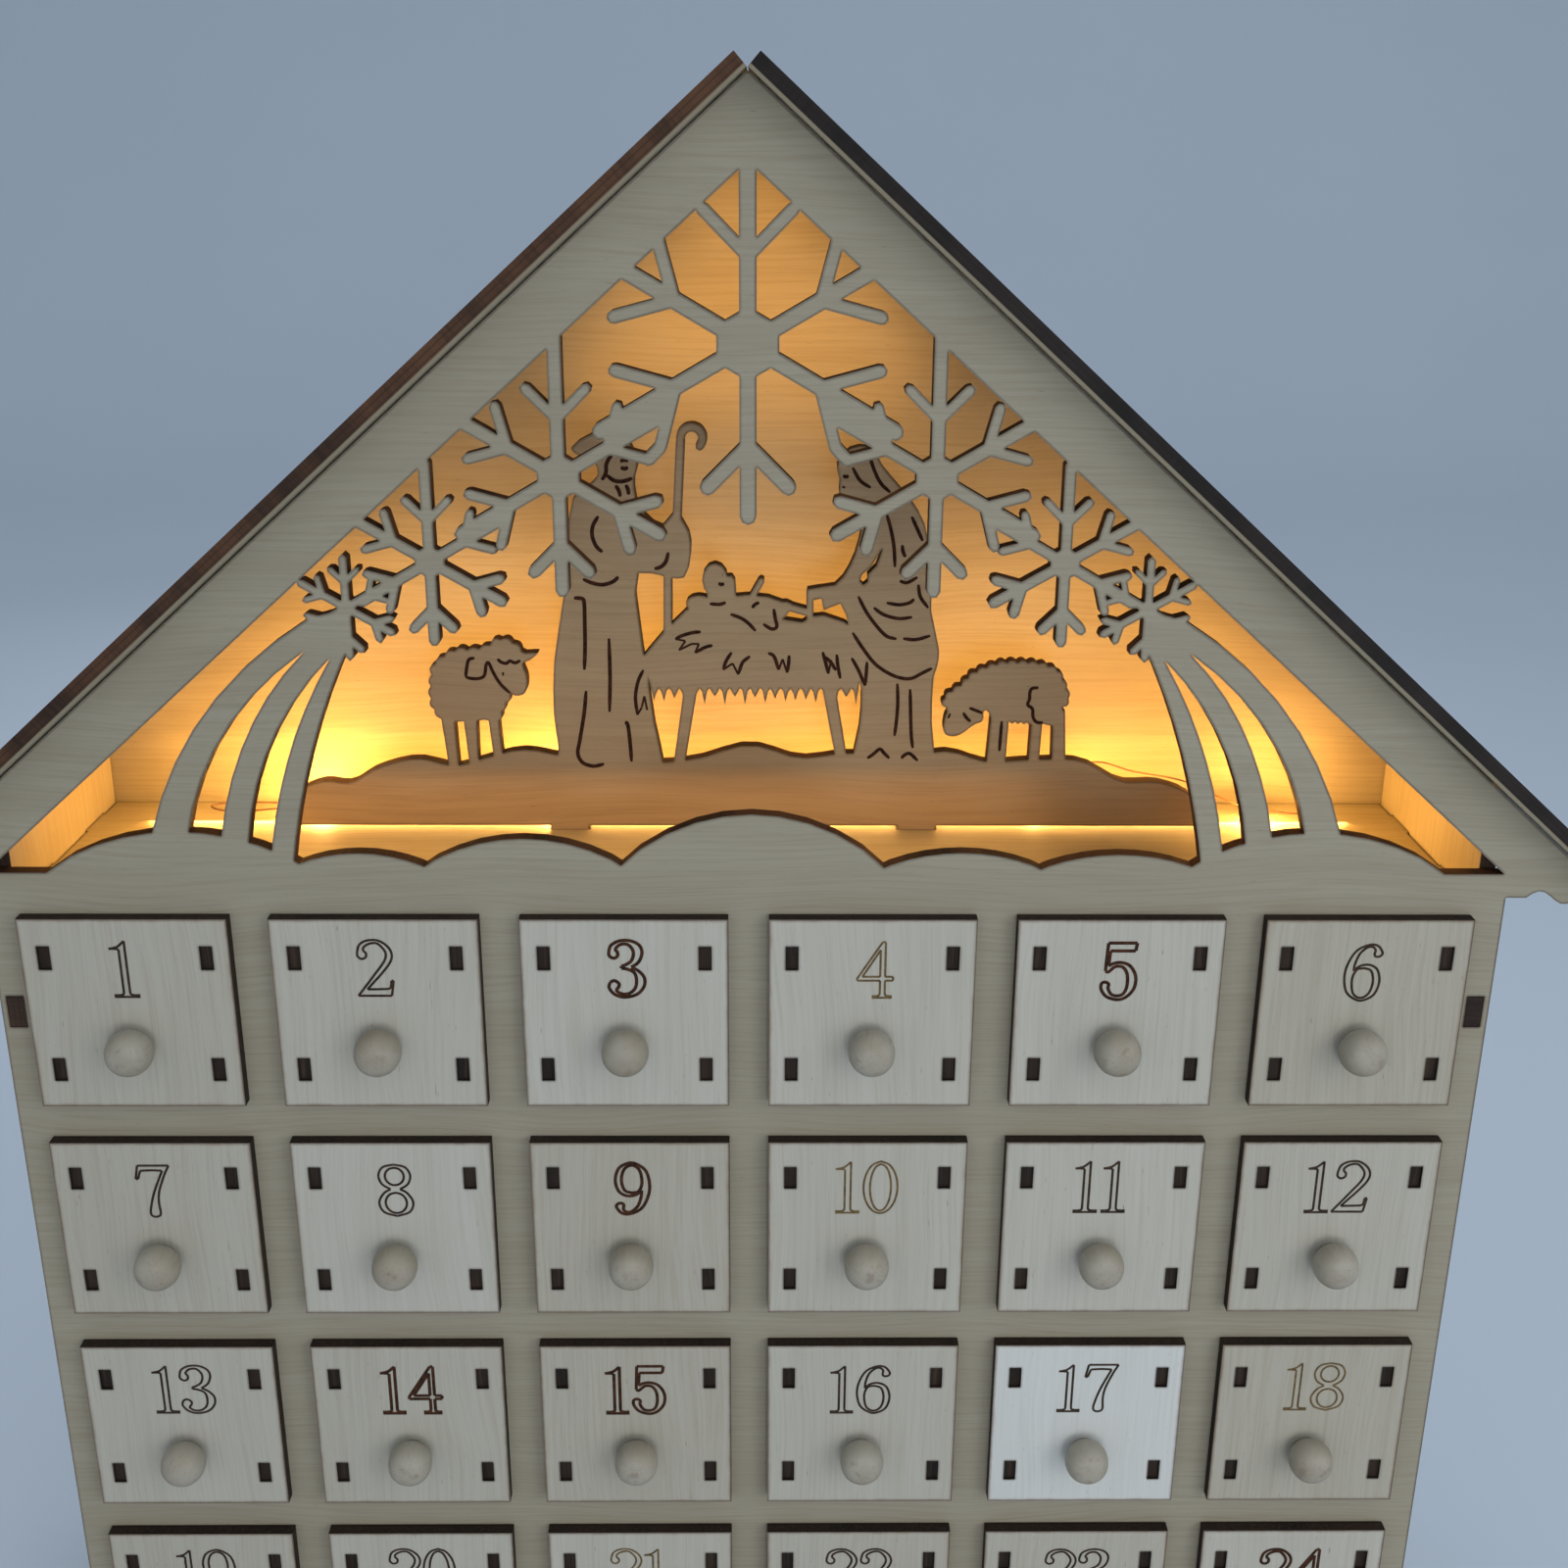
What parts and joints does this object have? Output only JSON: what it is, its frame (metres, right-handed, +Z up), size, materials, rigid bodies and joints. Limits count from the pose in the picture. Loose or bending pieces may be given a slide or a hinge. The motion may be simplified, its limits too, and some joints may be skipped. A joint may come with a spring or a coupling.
{
  "type": "advent calendar",
  "caption": "Plywood house with rows of small pull-out drawers under a gable pierced with snowflakes, with a cut-out nativity scene lit from behind.",
  "frame": {"origin": "middle of the footprint, on the surface that the house stands on", "axes": "+Z up to the ridge, +X to the right seen from the front, +Y to the back; the drawers open to -Y"},
  "size_m": [0.3264, 0.0904, 0.3349],
  "materials": {
    "case_birch": "bare sanded birch plywood with dark laser-cut edges",
    "drawer_birch": "bare sanded birch plywood with dark laser-cut edges",
    "knob_wood": "bare turned wood",
    "scene_birch": "bare birch plywood with burnt engraved lines",
    "lamp_string": "clear resin beads on lacquered wire",
    "battery_plastic": "fine grained black plastic"
  },
  "bodies": {
    "case": {"front_panel": "case_birch", "back_panel": "case_birch", "left_wall": "case_birch", "right_wall": "case_birch", "drawer_grid": "case_birch", "loft_floor": "case_birch", "left_roof": "case_birch", "right_roof": "case_birch", "scene_plate": "scene_birch", "light_string": "lamp_string", "battery_box": "battery_plastic"},
    "switch": {"light_switch": "battery_plastic"},
    "tray_01": {"drawer_01": "drawer_birch", "knob_01": "knob_wood"},
    "tray_02": {"drawer_02": "drawer_birch", "knob_02": "knob_wood"},
    "tray_03": {"drawer_03": "drawer_birch", "knob_03": "knob_wood"},
    "tray_04": {"drawer_04": "drawer_birch", "knob_04": "knob_wood"},
    "tray_05": {"drawer_05": "drawer_birch", "knob_05": "knob_wood"},
    "tray_06": {"drawer_06": "drawer_birch", "knob_06": "knob_wood"},
    "tray_07": {"drawer_07": "drawer_birch", "knob_07": "knob_wood"},
    "tray_08": {"drawer_08": "drawer_birch", "knob_08": "knob_wood"},
    "tray_09": {"drawer_09": "drawer_birch", "knob_09": "knob_wood"},
    "tray_10": {"drawer_10": "drawer_birch", "knob_10": "knob_wood"},
    "tray_11": {"drawer_11": "drawer_birch", "knob_11": "knob_wood"},
    "tray_12": {"drawer_12": "drawer_birch", "knob_12": "knob_wood"},
    "tray_13": {"drawer_13": "drawer_birch", "knob_13": "knob_wood"},
    "tray_14": {"drawer_14": "drawer_birch", "knob_14": "knob_wood"},
    "tray_15": {"drawer_15": "drawer_birch", "knob_15": "knob_wood"},
    "tray_16": {"drawer_16": "drawer_birch", "knob_16": "knob_wood"},
    "tray_17": {"drawer_17": "drawer_birch", "knob_17": "knob_wood"},
    "tray_18": {"drawer_18": "drawer_birch", "knob_18": "knob_wood"},
    "tray_19": {"drawer_19": "drawer_birch", "knob_19": "knob_wood"},
    "tray_20": {"drawer_20": "drawer_birch", "knob_20": "knob_wood"},
    "tray_21": {"drawer_21": "drawer_birch", "knob_21": "knob_wood"},
    "tray_22": {"drawer_22": "drawer_birch", "knob_22": "knob_wood"},
    "tray_23": {"drawer_23": "drawer_birch", "knob_23": "knob_wood"},
    "tray_24": {"drawer_24": "drawer_birch", "knob_24": "knob_wood"}
  },
  "joints": [
    {"name": "switch_slide", "type": "slide", "parent": "case", "child": "switch", "axis": [1, 0, 0], "range_m": [0, 0.004]},
    {"name": "slide_01", "type": "slide", "parent": "case", "child": "tray_01", "axis": [0, -1, 0], "range_m": [0, 0.045]},
    {"name": "slide_02", "type": "slide", "parent": "case", "child": "tray_02", "axis": [0, -1, 0], "range_m": [0, 0.045]},
    {"name": "slide_03", "type": "slide", "parent": "case", "child": "tray_03", "axis": [0, -1, 0], "range_m": [0, 0.045]},
    {"name": "slide_04", "type": "slide", "parent": "case", "child": "tray_04", "axis": [0, -1, 0], "range_m": [0, 0.045]},
    {"name": "slide_05", "type": "slide", "parent": "case", "child": "tray_05", "axis": [0, -1, 0], "range_m": [0, 0.045]},
    {"name": "slide_06", "type": "slide", "parent": "case", "child": "tray_06", "axis": [0, -1, 0], "range_m": [0, 0.045]},
    {"name": "slide_07", "type": "slide", "parent": "case", "child": "tray_07", "axis": [0, -1, 0], "range_m": [0, 0.045]},
    {"name": "slide_08", "type": "slide", "parent": "case", "child": "tray_08", "axis": [0, -1, 0], "range_m": [0, 0.045]},
    {"name": "slide_09", "type": "slide", "parent": "case", "child": "tray_09", "axis": [0, -1, 0], "range_m": [0, 0.045]},
    {"name": "slide_10", "type": "slide", "parent": "case", "child": "tray_10", "axis": [0, -1, 0], "range_m": [0, 0.045]},
    {"name": "slide_11", "type": "slide", "parent": "case", "child": "tray_11", "axis": [0, -1, 0], "range_m": [0, 0.045]},
    {"name": "slide_12", "type": "slide", "parent": "case", "child": "tray_12", "axis": [0, -1, 0], "range_m": [0, 0.045]},
    {"name": "slide_13", "type": "slide", "parent": "case", "child": "tray_13", "axis": [0, -1, 0], "range_m": [0, 0.045]},
    {"name": "slide_14", "type": "slide", "parent": "case", "child": "tray_14", "axis": [0, -1, 0], "range_m": [0, 0.045]},
    {"name": "slide_15", "type": "slide", "parent": "case", "child": "tray_15", "axis": [0, -1, 0], "range_m": [0, 0.045]},
    {"name": "slide_16", "type": "slide", "parent": "case", "child": "tray_16", "axis": [0, -1, 0], "range_m": [0, 0.045]},
    {"name": "slide_17", "type": "slide", "parent": "case", "child": "tray_17", "axis": [0, -1, 0], "range_m": [0, 0.045]},
    {"name": "slide_18", "type": "slide", "parent": "case", "child": "tray_18", "axis": [0, -1, 0], "range_m": [0, 0.045]},
    {"name": "slide_19", "type": "slide", "parent": "case", "child": "tray_19", "axis": [0, -1, 0], "range_m": [0, 0.045]},
    {"name": "slide_20", "type": "slide", "parent": "case", "child": "tray_20", "axis": [0, -1, 0], "range_m": [0, 0.045]},
    {"name": "slide_21", "type": "slide", "parent": "case", "child": "tray_21", "axis": [0, -1, 0], "range_m": [0, 0.045]},
    {"name": "slide_22", "type": "slide", "parent": "case", "child": "tray_22", "axis": [0, -1, 0], "range_m": [0, 0.045]},
    {"name": "slide_23", "type": "slide", "parent": "case", "child": "tray_23", "axis": [0, -1, 0], "range_m": [0, 0.045]},
    {"name": "slide_24", "type": "slide", "parent": "case", "child": "tray_24", "axis": [0, -1, 0], "range_m": [0, 0.045]}
  ]
}
